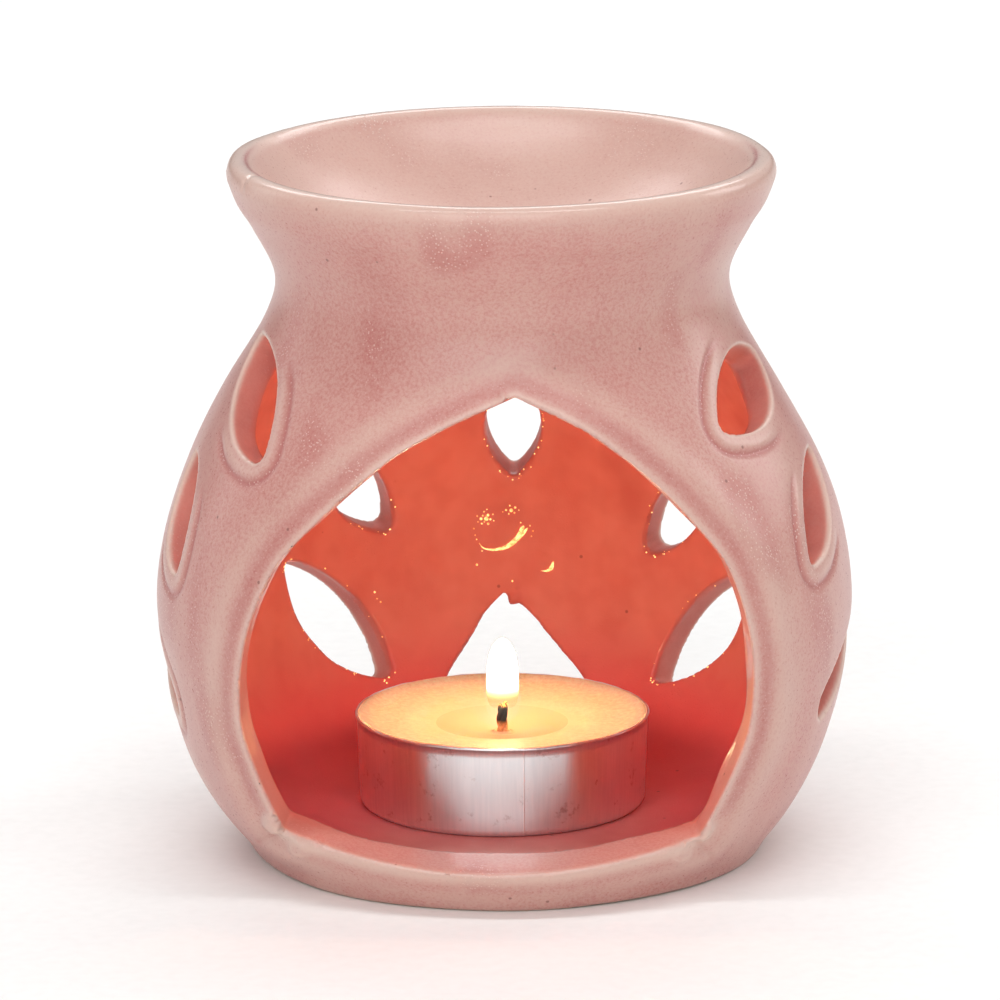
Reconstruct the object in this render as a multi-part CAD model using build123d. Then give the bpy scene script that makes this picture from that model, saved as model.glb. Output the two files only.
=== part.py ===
from build123d import *
import math
import os

# Essential oil burner: a pierced pot with an oil dish on its neck, and a tealight candle in its chamber.
# Millimetres, +Z up, -Y towards the large front opening, origin at the centre of the foot, on the table.

# Pot: outer outline, from the foot up to the neck
foot_diameter = 64.0
belly_diameter = 89.4
belly_height = 33.3
neck_diameter = 57.8
neck_height = 75.6
foot_edge_radius = 1.6
foot_wall_lean = 49.0
wall = 4.3
floor_thickness = 5.5
chamber_corner_radius = 3.0
# Each row: share of the way from the foot's or neck's radius out to the belly's, share of the rise
hip_shares = ((0.383, 0.182), (0.652, 0.363), (0.822, 0.545), (0.921, 0.727))
shoulder_shares = ((0.911, 0.214), (0.712, 0.428), (0.417, 0.643), (0.088, 0.857))
chamber_outline_shares = (0.14, 0.24, 0.34, 0.44, 0.54, 0.64, 0.74, 0.84, 0.93)

# Oil dish: flared outside, rolled rim, open bowl, spigot that sits in the neck
rim_diameter = 69.6
rim_roll_radius = 2.05
dish_height = 14.6
bowl_depth = 14.2
bowl_slope = 45.0
spigot_clearance = 0.2
# Each row: share of the way from the neck's radius to the rim's, share of the rise
flare_shares = ((0.459, 0.484), (0.773, 0.726))
# How far the bowl keeps its slope below the rim, and how far its floor keeps level, as shares of its radius
bowl_side_share = 0.36
bowl_floor_share = 0.51
quarter_round_share = 0.5523

# Front opening: a pointed arch with a low sill, not quite symmetrical, its apex a share of the neck's height
arch_apex_share = 0.8585
arch_apex_offset = 1.5
arch_left_reach = 33.0
arch_right_reach = 30.2
arch_corner_height = 9.2
sill_height = 6.3
# Each row, from the corner up: share of the side's reach, share of the rise from corner to apex
arch_left_shares = (
    (0.85, 0),
    (0.94, 0.14),
    (0.998, 0.27),
    (0.966, 0.44),
    (0.88, 0.58),
    (0.767, 0.675),
    (0.461, 0.84),
    (0.23, 0.925),
)
arch_right_shares = (
    (0.79, 0),
    (0.905, 0.135),
    (0.985, 0.25),
    (0.996, 0.385),
    (0.964, 0.508),
    (0.891, 0.621),
    (0.772, 0.707),
    (0.583, 0.815),
    (0.327, 0.925),
)

# Back opening: a small pointed arch near the floor of the chamber
back_arch_apex_height = 23.1
back_arch_left_reach = 9.6
back_arch_right_reach = 13.0
back_arch_corner_height = 8.6
back_arch_sill_height = 7.6
back_arch_side_shares = ((1.0, 0), (0.77, 0.3), (0.585, 0.48), (0.42, 0.65), (0.25, 0.83))

# Petal-shaped holes, cut square to the wall. The largest petal gives the length and the width.
petal_length = 22.1
petal_width = 9.45
petal_reach_outside = 6.0
petal_reach_inside = 3.0
# Each row: azimuth in degrees from the front, height as a share of the neck's height,
# length and width as shares of the largest petal's, lean in degrees, tip radius as a share of the width
petal_shares = (
    (-66.5, 0.825, 1.0, 1.0, -51.6, 0.222),
    (-77.4, 0.614, 0.774, 1.0, -35.5, 0.1),
    (-89.0, 0.344, 1.0, 0.624, -60.0, 0.35),
    (65.6, 0.835, 0.91, 0.992, 71.3, 0.164),
    (72.4, 0.628, 0.849, 0.843, 50.6, 0.12),
    (79.8, 0.344, 1.0, 0.624, 64.6, 0.35),
    (-144.4, 0.271, 0.99, 0.948, 39.2, 0.13),
    (136.3, 0.262, 0.953, 0.904, -38.7, 0.1),
    (-151.3, 0.515, 0.68, 0.752, 39.7, 0.19),
    (145.0, 0.477, 0.69, 0.694, -38.9, 0.237),
    (177.9, 0.631, 0.695, 0.772, -0.7, 0.14),
)

# Tealight: pressed aluminium cup, wax, wick and the tinplate sustainer that holds the wick
tealight_offset = -0.4
cup_diameter = 38.0
cup_height = 12.0
cup_wall = 0.25
cup_bead_radius = 0.3
cup_taper = 0.45
cup_corner_radius = 1.0
wax_clearance = 0.15
wax_top_drop = 0.7
wax_pool_diameter = 19.0
wax_pool_depth = 1.1
wick_diameter = 1.5
wick_clearance = 0.05
wick_standing_height = 2.7
wick_bend_height = 1.0
wick_bend_angle = 20.0
sustainer_diameter = 12.0
sustainer_thickness = 0.3
sustainer_neck_height = 3.4
sustainer_neck_wall = 0.3

# Places that follow from the sizes above
overall_height = neck_height + dish_height
arch_apex_height = neck_height * arch_apex_share
cup_floor_height = floor_thickness + cup_wall
cup_rim_height = floor_thickness + cup_height
wax_top_height = cup_rim_height - wax_top_drop
pool_height = wax_top_height - wax_pool_depth
cut_overrun = belly_diameter


def at(radius, height):
    """A point of an outline that is turned about the pot's axis."""
    return Vector(radius, 0, height)


def between(low, high, share):
    return low + (high - low) * share


def pot_outline():
    """Outside of the pot, from the foot to the neck, as one smooth curve."""
    foot_radius = foot_diameter / 2
    belly_radius = belly_diameter / 2
    neck_radius = neck_diameter / 2
    lean = math.radians(foot_wall_lean)
    points = [at(foot_radius, 0)]
    for radius_share, height_share in hip_shares:
        points.append(at(between(foot_radius, belly_radius, radius_share), belly_height * height_share))
    points.append(at(belly_radius, belly_height))
    for radius_share, height_share in shoulder_shares:
        height = between(belly_height, neck_height, height_share)
        points.append(at(between(neck_radius, belly_radius, radius_share), height))
    points.append(at(neck_radius, neck_height))
    return Spline(*points, tangents=(Vector(math.cos(lean), 0, math.sin(lean)), Vector(0, 0, 1)))


def share_at_height(curve, height):
    """How far along a rising curve the given height lies, as a share of its length."""
    low_share = 0
    high_share = 1
    for _ in range(30):
        middle_share = (low_share + high_share) / 2
        if (curve @ middle_share).Z < height:
            low_share = middle_share
        else:
            high_share = middle_share
    return (low_share + high_share) / 2


def outward(curve, share):
    """Direction square to the outline, away from the chamber."""
    tangent = curve % share
    return Vector(tangent.Z, 0, -tangent.X)


def chamber(outline):
    """The hollow of the pot: the outline moved in by the wall, closed by the flat floor."""
    floor_share = share_at_height(outline, floor_thickness)
    floor_radius = (outline @ floor_share - outward(outline, floor_share) * wall).X
    inner_points = []
    for share in chamber_outline_shares:
        inner_points.append(outline @ share - outward(outline, share) * wall)
    inner_wall = Spline(
        at(floor_radius, floor_thickness),
        *inner_points,
        at(neck_diameter / 2 - wall, neck_height),
    )
    floor_centre = at(0, floor_thickness)
    neck_centre = at(0, neck_height)
    edges = [
        Line(floor_centre, inner_wall @ 0),
        inner_wall,
        Line(inner_wall @ 1, neck_centre),
        Line(neck_centre, floor_centre),
    ]
    hollow = revolve(make_face(edges), Axis.Z)
    floor_edge = hollow.edges().filter_by(GeomType.CIRCLE).group_by(Axis.Z)[0]
    return fillet(floor_edge, chamber_corner_radius)


def arch_side(reach, side_shares, corner_height, apex_height):
    """Points of one side of an arch, from its corner up to just below its apex."""
    points = []
    for reach_share, rise_share in side_shares:
        points.append(at(reach * reach_share, between(corner_height, apex_height, rise_share)))
    return points


def arch_cutter(left_side, apex, right_side, sill, direction):
    """A pointed arch, drawn flat and pushed through one side of the pot."""
    edges = [
        Spline(*left_side, apex),
        Spline(apex, *reversed(right_side)),
        ThreePointArc(right_side[0], sill, left_side[0]),
    ]
    return extrude(make_face(edges), amount=cut_overrun, dir=direction)


def front_arch():
    """Cutter for the opening that the tealight goes in through."""
    left_side = arch_side(-arch_left_reach, arch_left_shares, arch_corner_height, arch_apex_height)
    right_side = arch_side(arch_right_reach, arch_right_shares, arch_corner_height, arch_apex_height)
    apex = at(arch_apex_offset, arch_apex_height)
    return arch_cutter(left_side, apex, right_side, at(0, sill_height), (0, -1, 0))


def back_arch():
    """Cutter for the small air opening behind the tealight."""
    heights = (back_arch_corner_height, back_arch_apex_height)
    left_side = arch_side(-back_arch_left_reach, back_arch_side_shares, *heights)
    right_side = arch_side(back_arch_right_reach, back_arch_side_shares, *heights)
    apex = at(0, back_arch_apex_height)
    return arch_cutter(left_side, apex, right_side, at(0, back_arch_sill_height), (0, 1, 0))


def petal_face(length, width, tip_radius):
    """Two arcs that meet at the ends, grown by the tip radius so that the ends are round."""
    half_length = length / 2 - tip_radius
    half_width = width / 2 - tip_radius
    right = ThreePointArc((0, -half_length), (half_width, 0), (0, half_length))
    left = ThreePointArc((0, half_length), (-half_width, 0), (0, -half_length))
    return offset(make_face([right, left]), amount=tip_radius, kind=Kind.ARC)


def petal_cutters(outline):
    """Cutters for the petal holes, each square to the wall where it is cut."""
    cutters = []
    for azimuth, height_share, length_share, width_share, lean, tip_share in petal_shares:
        width = petal_width * width_share
        outline_share = share_at_height(outline, neck_height * height_share)
        facing = outward(outline, outline_share)
        turn = azimuth - 90
        centre = (outline @ outline_share).rotate(Axis.Z, turn)
        normal = facing.rotate(Axis.Z, turn)
        sideways = Vector(0, 1, 0).rotate(Axis.Z, turn)
        place = Plane(origin=centre, x_dir=sideways, z_dir=normal)
        face = petal_face(petal_length * length_share, width, width * tip_share)
        face = place * Rot(0, 0, -lean) * face
        outer_part = extrude(face, amount=petal_reach_outside)
        inner_part = extrude(face, amount=-(wall + petal_reach_inside))
        cutters.append(outer_part + inner_part)
    return cutters


def burner_body():
    """The pierced pot: foot, wall and neck, with its openings."""
    outline = pot_outline()
    foot_centre = at(0, 0)
    neck_centre = at(0, neck_height)
    edges = [
        Line(foot_centre, outline @ 0),
        outline,
        Line(outline @ 1, neck_centre),
        Line(neck_centre, foot_centre),
    ]
    pot = revolve(make_face(edges), Axis.Z)
    foot_edge = pot.edges().filter_by(GeomType.CIRCLE).group_by(Axis.Z)[0]
    pot = fillet(foot_edge, foot_edge_radius)
    pot -= chamber(outline)
    pot -= front_arch()
    pot -= back_arch()
    for cutter in petal_cutters(outline):
        pot -= cutter
    return pot


def bowl_curve(lip, bottom_height):
    """Section of the open bowl: it leaves the rolled rim at a slope and is level at the pot's axis."""
    slope = Vector(-1, 0, 0).rotate(Axis.Y, -bowl_slope)
    return Bezier(
        lip,
        lip + slope * (lip.X * bowl_side_share),
        at(lip.X * bowl_floor_share, bottom_height),
        at(0, bottom_height),
    )


def spigot_curve(radius, rim_height, bottom_height):
    """Section of the domed underside: upright at its rim and level at the pot's axis."""
    depth = rim_height - bottom_height
    return Bezier(
        at(radius, rim_height),
        at(radius, rim_height - depth * quarter_round_share),
        at(radius * quarter_round_share, bottom_height),
        at(0, bottom_height),
    )


def oil_dish():
    """The dish for water and oil: it stands on the neck and its underside dips into it."""
    neck_radius = neck_diameter / 2
    roll_centre_radius = rim_diameter / 2 - rim_roll_radius
    roll_height = overall_height - rim_roll_radius
    bowl_bottom = overall_height - bowl_depth
    spigot_radius = neck_radius - wall - spigot_clearance
    underside = bowl_bottom - wall
    flare_points = [at(neck_radius, neck_height)]
    for radius_share, height_share in flare_shares:
        height = between(neck_height, roll_height, height_share)
        flare_points.append(at(between(neck_radius, rim_diameter / 2, radius_share), height))
    flare_points.append(at(rim_diameter / 2, roll_height))
    flare = Spline(*flare_points, tangents=(Vector(0, 0, 1), Vector(0, 0, 1)))
    lip = at(roll_centre_radius, roll_height) + at(0, rim_roll_radius).rotate(Axis.Y, -bowl_slope)
    roll = ThreePointArc(
        at(rim_diameter / 2, roll_height),
        at(roll_centre_radius, overall_height),
        lip,
    )
    bowl = bowl_curve(lip, bowl_bottom)
    spigot = spigot_curve(spigot_radius, neck_height, underside)
    edges = [
        flare,
        roll,
        bowl,
        Line(at(0, bowl_bottom), at(0, underside)),
        spigot,
        Line(at(spigot_radius, neck_height), at(neck_radius, neck_height)),
    ]
    return revolve(make_face(edges), Axis.Z)


def cup_radius_at(height):
    """Outside radius of the tapered cup wall."""
    top_radius = cup_diameter / 2 - cup_bead_radius
    return top_radius - cup_taper * (cup_rim_height - height) / cup_height


def tealight_cup():
    """Thin pressed cup with a rounded bottom corner and a rolled bead at its rim."""
    bead_height = cup_rim_height - cup_bead_radius
    outside = [
        at(0, floor_thickness),
        at(cup_radius_at(floor_thickness), floor_thickness),
        at(cup_radius_at(cup_rim_height), cup_rim_height),
        at(0, cup_rim_height),
    ]
    inside = [
        at(0, cup_floor_height),
        at(cup_radius_at(cup_floor_height) - cup_wall, cup_floor_height),
        at(cup_radius_at(cup_rim_height) - cup_wall, cup_rim_height),
        at(0, cup_rim_height),
    ]
    solids = []
    for points, corner_radius in ((outside, cup_corner_radius), (inside, cup_corner_radius - cup_wall)):
        solid = revolve(make_face(Polyline(*points, close=True)), Axis.Z)
        bottom_edge = solid.edges().filter_by(GeomType.CIRCLE).group_by(Axis.Z)[0]
        solids.append(fillet(bottom_edge, corner_radius))
    cup = solids[0] - solids[1]
    bead_circle = Plane.XZ * Pos(cup_radius_at(bead_height), bead_height) * Circle(cup_bead_radius)
    bead = revolve(bead_circle, Axis.Z)
    return cup + bead - solids[1]


def candle_wax():
    """Wax that fills the cup up to just under its rim, with the melted pool round the wick."""
    bottom_radius = cup_radius_at(cup_floor_height) - cup_wall - wax_clearance
    top_radius = cup_radius_at(wax_top_height) - cup_wall - wax_clearance
    pool_radius = wax_pool_diameter / 2
    points = [
        at(0, cup_floor_height),
        at(bottom_radius, cup_floor_height),
        at(top_radius, wax_top_height),
        at(pool_radius, wax_top_height),
    ]
    edges = [
        Polyline(*points),
        Spline(
            at(pool_radius, wax_top_height),
            at(0, pool_height),
            tangents=(Vector(-1, 0, -1), Vector(-1, 0, 0)),
        ),
        Line(at(0, pool_height), at(0, cup_floor_height)),
    ]
    wax = revolve(make_face(edges), Axis.Z)
    bottom_edge = wax.edges().filter_by(GeomType.CIRCLE).group_by(Axis.Z)[0]
    wax = fillet(bottom_edge, cup_corner_radius)
    neck_radius = wick_diameter / 2 + wick_clearance + sustainer_neck_wall
    for radius, height in (
        (wick_diameter / 2 + wick_clearance, cup_height),
        (neck_radius + wick_clearance, sustainer_neck_height + wick_clearance),
        (sustainer_diameter / 2 + wick_clearance, sustainer_thickness + wick_clearance),
    ):
        wax -= Pos(0, 0, cup_floor_height) * extrude(Circle(radius), amount=height)
    return wax


def wick_sustainer():
    """Tinplate disc on the cup's floor, with a crimped neck that grips the wick."""
    bore_radius = wick_diameter / 2 + wick_clearance
    disc = extrude(Circle(sustainer_diameter / 2), amount=sustainer_thickness)
    neck = extrude(Circle(bore_radius + sustainer_neck_wall), amount=sustainer_neck_height)
    bore = extrude(Circle(bore_radius), amount=cup_height)
    return Pos(0, 0, cup_floor_height) * (disc + neck - bore)


def wick():
    """Braided cotton wick: upright through the wax, then bent to the right above the pool."""
    bend_start = pool_height + wick_bend_height
    straight = Line(at(0, cup_floor_height), at(0, bend_start))
    bend_length = wick_standing_height - wick_bend_height
    bend_radius = bend_length / math.radians(wick_bend_angle)
    bend = Plane.XZ * Pos(bend_radius, bend_start) * CenterArc(
        (0, 0), bend_radius, start_angle=180, arc_size=-wick_bend_angle
    )
    section = Pos(0, 0, cup_floor_height) * Circle(wick_diameter / 2)
    return sweep(section, path=Wire([straight.edge(), bend.edge()]))


tealight_place = Pos(tealight_offset, 0, 0)
pieces = {
    "burner_body": burner_body(),
    "oil_dish": oil_dish(),
    "tealight_cup": tealight_place * tealight_cup(),
    "candle_wax": tealight_place * candle_wax(),
    "wick_sustainer": tealight_place * wick_sustainer(),
    "wick": tealight_place * wick(),
}

os.makedirs("parts", exist_ok=True)
for name, solid in pieces.items():
    export_step(solid, f"parts/{name}.step")
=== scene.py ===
import math

import bmesh
import bpy
import numpy as np
from mathutils import Matrix, Vector, noise


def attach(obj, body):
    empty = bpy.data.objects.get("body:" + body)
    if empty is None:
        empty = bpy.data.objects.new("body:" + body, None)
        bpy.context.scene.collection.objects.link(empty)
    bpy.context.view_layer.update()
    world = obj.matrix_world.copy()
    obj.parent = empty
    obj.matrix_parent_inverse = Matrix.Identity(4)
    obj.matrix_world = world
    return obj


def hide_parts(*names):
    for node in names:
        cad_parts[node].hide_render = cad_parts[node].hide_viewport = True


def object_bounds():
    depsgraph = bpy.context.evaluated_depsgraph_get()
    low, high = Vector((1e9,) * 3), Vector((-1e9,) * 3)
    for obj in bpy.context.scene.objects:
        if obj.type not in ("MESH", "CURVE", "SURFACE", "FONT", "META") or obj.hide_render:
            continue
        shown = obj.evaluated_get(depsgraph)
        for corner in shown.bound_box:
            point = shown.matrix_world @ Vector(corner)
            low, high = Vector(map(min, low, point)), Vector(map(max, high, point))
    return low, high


# Essential oil burner: one glazed pot with its dish, a lit tealight in the chamber, on a white studio floor.
# Sizes in millimetres until a mesh is made. The pot's axis is Z, its large opening faces -Y.
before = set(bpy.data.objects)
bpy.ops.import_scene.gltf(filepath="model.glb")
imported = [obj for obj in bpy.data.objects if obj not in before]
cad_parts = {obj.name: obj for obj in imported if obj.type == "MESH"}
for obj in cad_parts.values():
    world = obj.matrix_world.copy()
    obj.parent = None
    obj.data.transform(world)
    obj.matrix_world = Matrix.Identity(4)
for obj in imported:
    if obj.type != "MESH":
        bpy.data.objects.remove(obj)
cad_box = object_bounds()

MM = 0.001

# Camera, in metres and degrees: fitted to the ellipses of the rim and of the tealight
CAMERA_PLACE = (-0.00045, -1.0, 0.287)
CAMERA_LENS = 289.5
CAMERA_TILT = 13.59
CAMERA_ROLL = -0.44

# Outside of the pot and dish, from the foot up to the rim: radius, height
FOOT_RADIUS = 32.0
FOOT_EDGE = 1.6
OUTLINE = (
    (32.0, 0.0), (36.9, 6.1), (40.3, 12.1), (42.4, 18.15), (43.7, 24.2), (44.7, 33.3), (43.3, 42.35),
    (40.15, 51.4), (35.5, 60.5), (30.3, 69.55), (28.9, 75.6), (31.6, 81.7), (33.45, 84.7), (34.7, 87.8),
)
NECK_HEIGHT = 75.6
WALL = 4.3
FLOOR_TOP = 5.5
# Inside, floor and wall run into each other in this radius, up to where the wall leans out by this many degrees
CHAMBER_CORNER = 14.0
WALL_LEAN = 18
RIM_CREST = (33.1, 90.2)
# From the outside of the rim over its crest and down the bowl
DISH_LINE = (
    (34.8, 88.4), (34.35, 89.7), (33.1, 90.25), (31.8, 89.75), (30.4, 88.5), (28.4, 86.4), (25.0, 83.6),
    (20.0, 80.6), (14.0, 78.1), (7.0, 76.4), (0.0, 76.0),
)
DISH_UNDERSIDE = 71.7

# Front opening, from its lower corner up to the apex: sideways, height
ARCH_LEFT = (
    (-28.0, 9.2), (-31.0, 17.0), (-32.9, 24.2), (-31.9, 33.7), (-29.0, 41.5), (-25.3, 46.8), (-15.2, 56.0),
    (-7.6, 60.7), (1.5, 64.9),
)
ARCH_RIGHT = (
    (1.5, 64.9), (9.9, 60.7), (17.6, 54.6), (23.3, 48.6), (26.9, 43.8), (29.1, 37.5), (30.1, 30.7),
    (29.7, 23.1), (27.3, 16.7), (23.9, 9.2),
)
ARCH_SILL = 7.2
# The potter's knife leaned: the opening is this much smaller at the axis and larger 60 mm out, about a point
ARCH_NEAR = 0.84
ARCH_FAR = 1.2
ARCH_PIVOT = (0.0, 30.0)
CUT_REACH = 60.0
# Radius of the edges that the glaze has softened
EDGE = 0.45
# The pot's mesh: grain of the closed skin, and triangles that are kept
SKIN_GRAIN = 0.4
POT_TRIANGLES = 190000

# Small air opening at the back
BACK_ARCH_LEFT = ((-9.6, 8.6), (-7.4, 12.95), (-5.6, 15.6), (-4.0, 18.0), (-2.4, 20.6), (0.0, 23.1))
BACK_ARCH_RIGHT = ((0.0, 23.1), (3.25, 20.6), (5.5, 18.0), (7.6, 15.6), (10.0, 12.95), (13.0, 8.6))
BACK_SILL = 7.6

# Petal-shaped holes: azimuth from the front, height, length, width, lean in degrees, radius of the tips
PETALS = (
    (-66.5, 62.4, 22.1, 9.45, -51.6, 1.4),
    (-77.4, 46.4, 17.1, 9.45, -35.5, 0.95),
    (-89.0, 26.0, 22.1, 5.9, -60.0, 2.1),
    (65.6, 63.1, 20.1, 9.4, 71.3, 1.5),
    (72.4, 47.5, 18.8, 8.0, 50.6, 1.0),
    (79.8, 26.0, 22.1, 5.9, 64.6, 2.1),
    (-144.4, 20.5, 21.9, 9.0, 39.2, 1.2),
    (136.3, 19.8, 21.1, 8.5, -38.7, 0.85),
    (-151.3, 38.9, 15.0, 7.1, 39.7, 1.35),
    (145.0, 36.1, 15.3, 6.6, -38.9, 1.6),
    (177.9, 47.7, 15.4, 7.3, -0.7, 1.0),
)
# The first five have a line pressed below them, and the last five are seen from inside
NEAR_PETALS = 5
FAR_PETALS = PETALS[6:]

# A line is pressed into the clay this far outside a petal hole, and a soft band rises this far outside the arch
PRESSED_LINE = 2.7
ARCH_BAND = 4.3
# A dent in the back wall, crumbs of clay beside the apex of the back opening, and knuckles where the knife
# turned at the lower corners: sideways, height, size, rise
DENTS = ((5.2, 27.2, 1.5, -0.2),)
CRUMBS = ((1.3, 22.3, 0.7, 0.8), (1.0, 21.3, 0.6, 1.0), (1.5, 24.0, 0.4, 0.5))
KNUCKLES = ((-28.8, 10.0, 2.3, 0.7), (-26.0, 7.2, 1.9, 0.45), (24.6, 9.6, 2.0, 0.6), (22.0, 6.8, 1.7, 0.35))
# Hardened glaze on the back wall: beads (sideways, height, radius) and curved runs (points, radius)
BEADS = (
    (-3.0, 33.0, 0.2), (-2.75, 33.45, 0.12), (-2.3, 33.0, 0.3), (-2.05, 33.5, 0.2), (-1.75, 32.9, 0.14),
    (-2.6, 34.0, 0.11), (-2.9, 32.35, 0.12), (-2.05, 32.3, 0.17), (-3.5, 33.4, 0.09), (-1.4, 33.6, 0.09),
    (-2.55, 32.6, 0.1), (-1.3, 32.7, 0.08), (-3.4, 32.6, 0.08), (-2.2, 34.3, 0.08), (0.35, 34.15, 0.13),
    (0.85, 34.75, 0.11), (1.05, 34.1, 0.25), (1.55, 34.45, 0.16), (1.45, 33.75, 0.12), (0.7, 33.6, 0.09),
    (-0.1, 33.9, 0.08), (2.05, 34.1, 0.09), (-3.6, 26.8, 0.16), (-3.95, 31.7, 0.1), (-3.8, 30.8, 0.08),
    (-3.6, 30.2, 0.1), (3.5, 32.0, 0.1), (2.3, 32.4, 0.09), (3.9, 31.3, 0.12), (1.1, 24.6, 0.14),
    (-17.2, 24.2, 0.14), (-16.4, 22.8, 0.12), (-16.9, 23.3, 0.08), (3.7, 30.6, 0.08), (-2.9, 28.6, 0.09),
)
RUNS = (
    (((-3.3, 29.7), (-2.7, 29.0), (-1.6, 28.75), (-0.3, 28.9), (0.8, 29.4), (1.7, 30.2), (2.5, 30.9),
      (3.2, 31.7)), 0.34),
    (((1.6, 30.5), (2.3, 31.4), (2.7, 32.0)), 0.24),
    (((4.9, 26.0), (5.7, 26.0), (6.3, 26.4), (6.6, 27.3)), 0.26),
)
# Fine drops beside each of the far petal holes
PETAL_DROPS = 30
# Creases in the clay, from point to point: the knife's run-out at both corners, a hairline above the apex
CREASES = ((-27.4, 9.6, -30.9, 6.0), (23.5, 8.8, 25.6, 5.2), (-0.2, 66.3, 1.5, 64.7))
# Azimuth of the crack in the rim
RIM_CRACK = -69.0

# Tealight: heights above the table, and radii of the cup at its rim, of its rolled bead and of the melted pool
CANDLE_X = -0.4
CUP_TOP = 17.5
CUP_RADIUS = 18.99
CUP_TAPER = 0.45
CUP_HEIGHT = 12.0
CUP_WALL = 0.25
BEAD = 0.2
WAX_TOP = 16.8
POOL_RADIUS = 10.2
POOL_EDGE = 16.0
POOL_LEVEL = 14.6
SEAM_X = 2.3
# The sustainer's disc and neck, and the wick, leave these bores in the wax: radius, height above the cup's bottom
DISC_BORE = (6.05, 0.35)
NECK_BORE = (1.15, 3.45)
WICK_BORE = 0.8
STRAND_RADIUS = 0.37
STRAND_TOPS = (18.5, 18.2, 18.4)
# The wick is soaked below the first pair of heights and charred above it; its tip glows above the second pair
CHARRED = (15.3, 16.2)
GLOWING = (17.9, 18.4)
FLAME_TOP = 27.0
FLAME_X = -0.3
# Light of the flame: watts, colour, height
FLAME_POWER = 0.029
FLAME_COLOUR = (1.0, 0.43, 0.218)
FLAME_HEIGHT = 29


# ---------------------------------------------------------------- helpers

def linear(code):
    """A hex colour, as the eye sees it, turned to the linear values that the shader needs."""
    values = [int(code[i:i + 2], 16) / 255 for i in (1, 3, 5)]
    return [v / 12.92 if v <= 0.04045 else ((v + 0.055) / 1.055) ** 2.4 for v in values] + [1.0]


def smooth_line(points, steps):
    """A smooth curve through the points, with the given number of steps between neighbours."""
    pts = [np.array(p, float) for p in points]
    pts = [2 * pts[0] - pts[1], *pts, 2 * pts[-1] - pts[-2]]
    line = []
    for before, start, end, after in zip(pts, pts[1:], pts[2:], pts[3:]):
        for t in np.arange(steps) / steps:
            line.append(0.5 * (2 * start + (end - before) * t
                               + (2 * before - 5 * start + 4 * end - after) * t ** 2
                               + (3 * start - before - 3 * end + after) * t ** 3))
    return line + [pts[-2]]


ARCH_LINE = [*smooth_line(ARCH_LEFT, 4)[:-1], *smooth_line(ARCH_RIGHT, 4)]


def arc(centre, radius, start, end, steps):
    """Points on an arc, angles in degrees."""
    return [(centre[0] + radius * math.cos(a), centre[1] + radius * math.sin(a))
            for a in np.radians(np.linspace(start, end, steps + 1))]


def placed(name, data):
    """An object in the scene, at the origin, for a mesh, curve, lamp or camera."""
    thing = bpy.data.objects.new(name, data)
    bpy.context.scene.collection.objects.link(thing)
    return thing


def finish_mesh(bm, name):
    """Closes the poles, turns the faces outwards and makes an object at the origin, in metres."""
    bmesh.ops.remove_doubles(bm, verts=bm.verts, dist=0.001)
    bmesh.ops.recalc_face_normals(bm, faces=bm.faces)
    bmesh.ops.scale(bm, vec=(MM, MM, MM), verts=bm.verts)
    mesh = bpy.data.meshes.new(name)
    bm.to_mesh(mesh)
    bm.free()
    mesh.shade_smooth()
    return placed(name, mesh)


def turned(name, profile, segments, centre_x=0.0, closed=False):
    """A shape turned on the wheel: the profile of (radius, height) points, spun about the Z axis."""
    bm = bmesh.new()
    verts = [bm.verts.new((radius, 0, height)) for radius, height in profile]
    pairs = list(zip(verts, verts[1:]))
    if closed:
        pairs.append((verts[-1], verts[0]))
    edges = [bm.edges.new(pair) for pair in pairs]
    bmesh.ops.spin(bm, geom=verts + edges, axis=(0, 0, 1), cent=(0, 0, 0), angle=math.tau,
                   steps=segments, use_merge=True)
    bmesh.ops.translate(bm, vec=(centre_x, 0, 0), verts=bm.verts)
    return finish_mesh(bm, name)


def prism(name, outline, depth, place, flare=1.0, pivot=(0, 0)):
    """A flat outline pushed back by depth, its far end scaled by flare about pivot, then put in its place."""
    bm = bmesh.new()
    face = bm.faces.new([bm.verts.new((x, y, 0)) for x, y in outline])
    pushed = bmesh.ops.extrude_face_region(bm, geom=[face])["geom"]
    top = [v for v in pushed if isinstance(v, bmesh.types.BMVert)]
    bmesh.ops.translate(bm, vec=(0, 0, depth), verts=top)
    bmesh.ops.scale(bm, vec=(flare, flare, 1), space=Matrix.Translation((-pivot[0], -pivot[1], 0)), verts=top)
    bmesh.ops.transform(bm, matrix=place, verts=bm.verts)
    return finish_mesh(bm, name)


def apply_modifiers(piece):
    """Replaces the mesh of a piece with what its modifiers make of it."""
    done = bpy.data.meshes.new_from_object(piece.evaluated_get(bpy.context.evaluated_depsgraph_get()))
    piece.modifiers.clear()
    piece.data = done


def modify(piece, kind, **settings):
    """Puts one modifier on a piece and applies it."""
    modifier = piece.modifiers.new(kind.lower(), kind)
    for key, value in settings.items():
        setattr(modifier, key, value)
    apply_modifiers(piece)


def points_of(mesh):
    """Positions and outward directions of a mesh's points, in millimetres."""
    co = np.empty(len(mesh.vertices) * 3, np.float32)
    no = np.empty(len(mesh.vertices) * 3, np.float32)
    mesh.vertices.foreach_get("co", co)
    mesh.vertex_normals.foreach_get("vector", no)
    return co.reshape(-1, 3).astype(float) / MM, no.reshape(-1, 3).astype(float)


def move_points(mesh, co):
    """Puts a mesh's points at these places, in millimetres."""
    mesh.vertices.foreach_set("co", (co * MM).astype(np.float32).ravel())
    mesh.update()


def paint(mesh, name, values):
    """Stores one number per point, for a material to read."""
    layer = mesh.attributes.new(name, "FLOAT", "POINT")
    layer.data.foreach_set("value", np.clip(values, 0, 1).astype(np.float32))


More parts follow.
